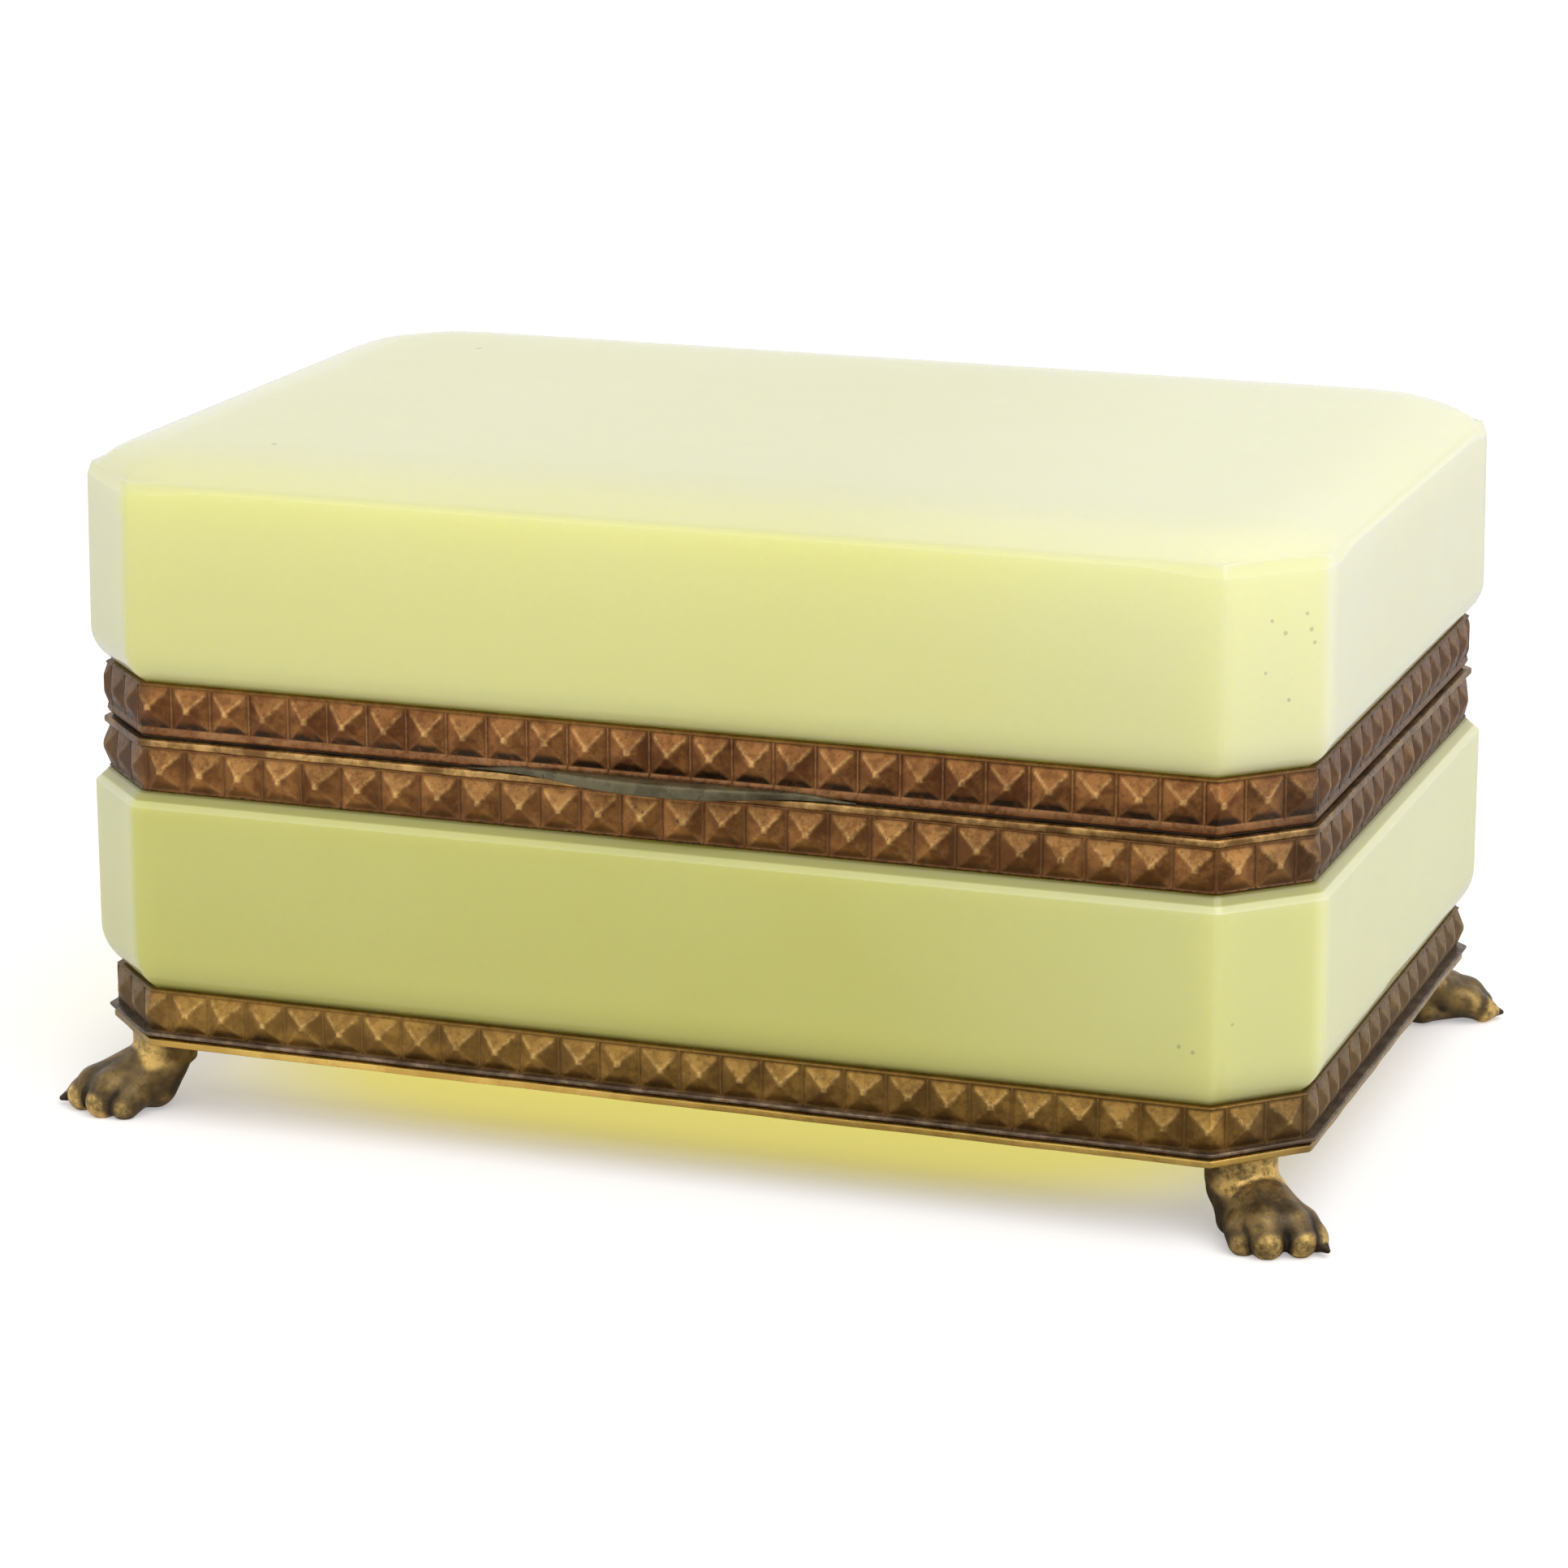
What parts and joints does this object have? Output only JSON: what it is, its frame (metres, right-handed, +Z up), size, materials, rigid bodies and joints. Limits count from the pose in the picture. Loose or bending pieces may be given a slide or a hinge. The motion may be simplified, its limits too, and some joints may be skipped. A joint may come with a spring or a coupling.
{
  "type": "jewelry casket",
  "caption": "Footed casket of thick opaline glass with cut corners, stamped brass collars and a lid hinged at the back.",
  "frame": {"origin": "on the table, under the middle of the casket, at the height of the feet's soles", "axes": "+X along the casket's length to the right, -Y towards the front with the thumb lip, +Y towards the hinge, +Z up"},
  "size_m": [0.1584, 0.1052, 0.081],
  "materials": {
    "opaline_glass": "polished, milky and faintly translucent",
    "collar_brass": "stamped, aged copper-brown with golden ridges",
    "rim_brass": "rolled, worn bright along its edge",
    "thumb_lip_brass": "grey-green tarnish",
    "base_brass": "stamped, aged olive gold",
    "plate_brass": "rolled, old gilding",
    "paw_brass": "cast, gilt with dark patina in the hollows",
    "hinge_brass": "drawn and aged",
    "screw_brass": "turned, dull",
    "plaster": "dry set plaster"
  },
  "bodies": {
    "case": {"glass_body": "opaline_glass", "body_collar": "collar_brass", "body_rim": "rim_brass", "inner_lip": "rim_brass", "body_cement": "plaster", "base_collar": "base_brass", "base_cement": "plaster", "base_plate": "plate_brass", "foot_front_left": "paw_brass", "foot_front_right": "paw_brass", "foot_back_left": "paw_brass", "foot_back_right": "paw_brass", "foot_screws": "screw_brass", "hinge_leaf_body": "hinge_brass", "hinge_pin": "hinge_brass", "hinge_rivets_body": "hinge_brass"},
    "lid": {"glass_lid": "opaline_glass", "lid_collar": "collar_brass", "lid_rim": "rim_brass", "thumb_lip": "thumb_lip_brass", "lid_cement": "plaster", "hinge_leaf_lid": "hinge_brass", "hinge_rivets_lid": "hinge_brass"}
  },
  "joints": [
    {"name": "lid_hinge", "type": "hinge", "parent": "case", "child": "lid", "pos_m": [0, 0.0495, 0.04735], "axis": [-1, 0, 0], "range_deg": [0, 100]}
  ]
}
